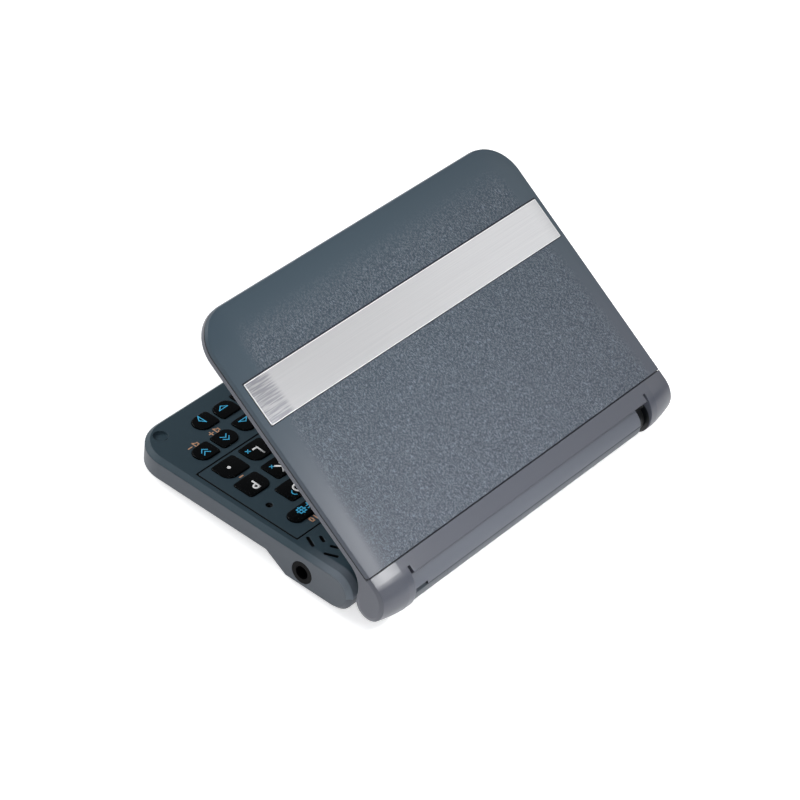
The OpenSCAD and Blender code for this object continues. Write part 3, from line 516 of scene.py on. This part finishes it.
def lay_ink(name, bm, x, y, top, material, body):
    """Presses a flat mark onto a surface at x and y, as a film of ink whose top follows it."""
    bmesh.ops.remove_doubles(bm, verts=bm.verts, dist=MERGE)
    film = bmesh.ops.extrude_face_region(bm, geom=list(bm.faces))
    raised = {v for v in film["geom"] if isinstance(v, bmesh.types.BMVert)}
    for vertex in bm.verts:
        vertex.co.x += x
        vertex.co.y += y
        vertex.co.z = top(vertex.co.x, vertex.co.y) + (INK_TOP if vertex in raised else INK_LOW)
    bmesh.ops.transform(bm, matrix=BASE, verts=bm.verts)
    solid_object(name, bm, material, body)


def key_top(name):
    """Centre of a key and the height of its crown at any point."""
    low, high = box_in(BASE, name)
    middle = (low + high) / 2
    wide = high.x - low.x > WIDE_KEY

    def crown(x, y):
        dx = 0.0 if wide else x - middle.x
        return high.z - (dx ** 2 + (y - middle.y) ** 2) / (2 * DOME_R)
    return middle, crown


def legend(key, bm, dx, dy, material, mark):
    """Prints a mark on a key, at dx and dy from its centre."""
    middle, crown = key_top(key)
    lay_ink(f"{key}_{mark}", bm, middle.x + dx, middle.y + dy, crown, material, key)


# White letters. Those of the rear row stand further left, to leave room for a second function.
REAR_ROW = "qwertyuio"
for letter in REAR_ROW + "asdfghjkpzxcvbnml":
    aside = -0.7 if letter in REAR_ROW else 0.25
    legend("key_" + letter, letter_mesh(letter.upper(), LETTER_H), aside, 0.7, white_ink, "letter")

dot = bmesh.new()
bmesh.ops.create_circle(dot, cap_ends=True, segments=20, radius=0.48)
legend("key_stop", dot, 0.65, 0.0, white_ink, "dot")

# Second functions: plain sums and brackets beside the letters
CROSS = [[(-0.42, -0.42), (0.42, 0.42)], [(-0.42, 0.42), (0.42, -0.42)]]
DASH = [[(-0.55, 0), (0.55, 0)]]
BRACKET = [(-0.3, -0.8), (0.1, -0.45), (0.25, 0), (0.1, 0.45), (-0.3, 0.8)]
sums = {
    "key_l": (CROSS, 2.45, -0.95),
    "key_k": ([[(0.8 * x, 0.8 * y) for x, y in line] for line in CROSS], 1.9, -0.95),
    "key_j": (DASH, 2.1, -0.95),
    "key_m": ([[(-0.5, -0.6), (0.5, 0.6)]], 2.45, -0.95),
    "key_o": ([BRACKET], 1.7, 1.3),
    "key_i": ([[(-x, y) for x, y in BRACKET]], 1.7, 1.3)}
for key, (lines, dx, dy) in sums.items():
    legend(key, strokes(lines, 0.25), dx, dy, blue_ink, "sum")

# Hollow arrows and page marks
ARROW = [(-1.4, -0.5), (1.4, -0.5), (0, 0.55), (-1.4, -0.5)]
arrows = {"key_up": (0, 0.1, -0.8), "key_left": (90, -0.3, -0.75), "key_down": (180, 0.45, -0.65),
          "key_right": (270, 0.45, -0.75)}
for key, (angle, dx, dy) in arrows.items():
    bm = strokes([ARROW], 0.24)
    bmesh.ops.rotate(bm, verts=bm.verts, cent=(0, 0, 0), matrix=Matrix.Rotation(math.radians(angle), 3, "Z"))
    legend(key, bm, dx, dy, blue_ink, "arrow")
CHEVRON = [(-1.0, -0.45), (0, 0.45), (1.0, -0.45)]
for key, sign in {"key_page_up": 1, "key_page_down": -1}.items():
    lines = [[(x, (y + shift) * sign) for x, y in CHEVRON] for shift in (-0.5, 0.5)]
    legend(key, strokes(lines, 0.24), 0.2, 0.25, blue_ink, "chevrons")

# The function keys and the wide keys carry plain marks of their own
SQUARE = [(-0.9, -0.8), (-0.9, 0.8), (0.9, 0.8), (0.9, -0.8), (-0.9, -0.8)]
LADDER = [[(-1.0, y), (1.0, y)] for y in (-0.8, 0, 0.8)]
FORK = [[(0, -0.9), (0, 0.9)], [(-0.9, 0.6), (0.9, 0.6)], [(-0.7, -0.2), (0.7, -0.2)]]
words = {
    "key_dictionary": ([SQUARE, [(0, 0.8), (0, -0.8)]], LADDER),
    "key_translate": (FORK, [SQUARE, [(-0.9, 0), (0.9, 0)]]),
    "key_study": (LADDER, FORK),
    "key_tools": ([SQUARE, [(-1.3, 0), (1.3, 0)], [(0, 1.1), (0, -1.1)]], FORK)}
# The first mark stands this far to the right of the key's centre, and the second one a step to its left
FIRST_MARK_X = 5.4
MARK_STEP = 2.75
for key, marks in words.items():
    for number, lines in enumerate(marks):
        aside = FIRST_MARK_X - MARK_STEP * number
        legend(key, strokes(lines, 0.3), aside, -0.35, blue_ink, f"mark_{number + 1}")
signs = {
    "key_shift": [[(-0.9, 0), (0, 0.9), (0.9, 0)], [(0, 0.8), (0, -0.9)]],
    "key_symbol": [[(-0.8, 0.3), (0.8, 0.3)], [(-0.8, -0.3), (0.8, -0.3)], [(-0.3, 0.8), (-0.3, -0.8)],
                   [(0.3, 0.8), (0.3, -0.8)]],
    "key_escape": [[(0.9, 0.8), (-0.7, 0), (0.9, -0.8)]],
    "key_enter": [[(1.0, 0.8), (1.0, -0.2), (-1.0, -0.2)], [(-0.5, 0.4), (-1.1, -0.2), (-0.5, -0.8)]],
    "key_power": [[(0.9 * math.sin(a / 8 * math.pi), 0.9 * math.cos(a / 8 * math.pi)) for a in range(2, 15)],
                  [(0, 1.1), (0, 0.2)]]}
for key, lines in signs.items():
    legend(key, strokes(lines, 0.27), 0, 0, blue_ink, "mark")


def deck_mark(name, lines, x, y, width=0.26):
    """Prints orange strokes on the deck or the key panel."""
    lay_ink(name, strokes(lines, width), x, y, lambda u, v: DECK_Z, orange_ink, "base")


# Orange marks printed on the deck and the key panel
SPEAKER = [[(-0.9, 0.35), (-0.9, -0.35), (-0.4, -0.35), (0.3, -0.9), (0.3, 0.9), (-0.4, 0.35), (-0.9, 0.35)]]
LOUDER = [[(1.2, 0), (2.4, 0)], [(1.8, 0.6), (1.8, -0.6)]]
page_up, page_down = key_top("key_page_up")[0], key_top("key_page_down")[0]
deck_mark("speaker_mark_plus", SPEAKER + LOUDER, page_up.x - 0.5, page_up.y - 3.5)
deck_mark("speaker_mark_minus", SPEAKER + LOUDER[:1], page_down.x - 0.4, page_down.y - 3.3)
stop, p_key = key_top("key_stop")[0], key_top("key_p")[0]
deck_mark("dash_mark", [[(-0.5, 0), (0.5, 0)]], (stop.x + p_key.x) / 2 + 0.2, (stop.y + p_key.y) / 2, 0.34)
NUMBER = [[(-0.9, 0.6), (-0.9, -0.6)], [(0.1, 0.6), (0.9, 0.6), (0.9, -0.6), (0.1, -0.6), (0.1, 0.6)]]
for key in words:
    middle = key_top(key)[0]
    deck_mark(key + "_number", NUMBER, middle.x + 5.2, middle.y + 3.2, 0.32)

# Black border printed behind the window: its width and thickness, how much smaller it is than the
# window, and how deep it lies
BORDER_WIDTH = 5.0
BORDER_THICKNESS = 0.04
BORDER_LESS = 1.0
BORDER_SINK = 0.03
low, high = box_in(LID, "display_window")
window = high - low
border = bmesh.new()
bmesh.ops.create_grid(border, x_segments=1, y_segments=1, size=0.5)
bmesh.ops.scale(border, vec=(window.x - BORDER_LESS, window.y - BORDER_LESS, 1), verts=border.verts)
rim = bmesh.ops.inset_region(border, faces=list(border.faces), thickness=BORDER_WIDTH,
                             use_boundary=True, use_even_offset=True)
inner = [face for face in border.faces if face not in rim["faces"]]
bmesh.ops.delete(border, geom=inner, context="FACES")
bmesh.ops.solidify(border, geom=list(border.faces), thickness=BORDER_THICKNESS)
centre = low + window / 2
bmesh.ops.translate(border, vec=(centre.x, centre.y, high.z - BORDER_SINK), verts=border.verts)
bmesh.ops.transform(border, matrix=LID, verts=border.verts)
solid_object("window_border", border, small_part("black_screen_ink", "#090a0b", 0.4), "lid")

# Stage

def stage_floor():
    """Pale floor that goes on to the horizon, white to the camera outside the soft shadow."""
    bm = bmesh.new()
    bmesh.ops.create_grid(bm, x_segments=1, y_segments=1, size=3.0)
    mesh = bpy.data.meshes.new("floor")
    bm.to_mesh(mesh)
    bm.free()
    material, tree = new_material("pale_floor")
    matt = add(tree, "BsdfPrincipled", {"Base Color": linear("#f4f4f4"), "Roughness": 0.9})
    path = add(tree, "LightPath").outputs
    bent = add(tree, "Math", {0: path["Is Glossy Ray"], 1: path["Is Transmission Ray"]}, operation="MAXIMUM")
    seen = add(tree, "Math", {0: path["Is Camera Ray"], 1: bent}, operation="MAXIMUM")
    glow = add(tree, "Emission", {"Color": linear("#ffffff"), "Strength": 0.55})
    both = add(tree, "AddShader", {0: matt, 1: glow})
    mixed = add(tree, "MixShader", {0: seen, 1: matt, 2: both})
    add(tree, "OutputMaterial", {"Surface": mixed})
    mesh.materials.append(material)
    made = bpy.data.objects.new("floor", mesh)
    bpy.context.scene.collection.objects.link(made)


def area_light(name, place, target, size, power):
    """A round soft lamp that faces the target, with its size in metres and its power in watts."""
    light = bpy.data.lights.new(name, "AREA")
    light.shape = "DISK"
    light.size = size
    light.energy = power
    made = bpy.data.objects.new(name, light)
    made.location = place
    made.rotation_euler = (Vector(place) - Vector(target)).to_track_quat("Z", "Y").to_euler()
    bpy.context.scene.collection.objects.link(made)


def world_light():
    """Soft even light, dimmer in reflections, and a white background to the camera."""
    world = bpy.data.worlds.new("studio")
    bpy.context.scene.world = world
    world.use_nodes = True
    tree = world.node_tree
    tree.nodes.clear()
    path = add(tree, "LightPath").outputs
    soft = add(tree, "Background", {"Color": linear("#f7faff"), "Strength": 0.35})
    dim = add(tree, "Background", {"Color": linear("#f7faff"), "Strength": 0.13})
    white = add(tree, "Background", {"Color": linear("#ffffff"), "Strength": 1.0})
    lit = add(tree, "MixShader", {0: path["Is Glossy Ray"], 1: soft, 2: dim})
    seen = add(tree, "MixShader", {0: path["Is Camera Ray"], 1: lit, 2: white})
    add(tree, "OutputWorld", {"Surface": seen})


stage_floor()
world_light()
# Lamps: one behind to the right, a broad one behind to the left, a strong one in front, a small one
# close behind the hinge that faces its right end, and a weak one far behind
CENTRE = (0, 0, 0.02)
area_light("key_light", (0.72, 0.48, 0.8), CENTRE, 0.5, 2.5)
area_light("strip_light", (-0.95, 0.38, 0.72), CENTRE, 1.0, 2.8)
area_light("front_light", (0.35, -0.95, 0.6), CENTRE, 0.6, 6.8)
area_light("hinge_light", (0.012, 0.1, 0.126), (0.05, 0.034, 0.018), 0.03, 0.115)
area_light("rear_light", (-0.2, 1.0, 0.4), CENTRE, 0.5, 0.8)

# Camera: found by fitting the object's main edges to the photograph. Its place is in millimetres
# and, like its right and down directions, in the base's axes.
LENS = 142.0
CAMERA_BASE = Vector((487.38, 310.79, 488.28))
RIGHT = Vector((-0.64077, 0.76167, 0.09629))
DOWN = Vector((0.43302, 0.46212, -0.77391))
camera = bpy.data.cameras.new("camera")
camera.lens = LENS
camera.sensor_width = 36.0
camera.clip_start = 0.01
camera_object = bpy.data.objects.new("camera", camera)
turn = Matrix.Rotation(TILT, 3, "X")
right, down = turn @ RIGHT, turn @ DOWN
back = right.cross(-down)
axes = Matrix((right, -down, back)).transposed().to_4x4()
camera_object.matrix_world = Matrix.Translation(BASE @ CAMERA_BASE) @ axes
bpy.context.scene.collection.objects.link(camera_object)
bpy.context.scene.camera = camera_object
bpy.context.scene.view_settings.view_transform = "Standard"
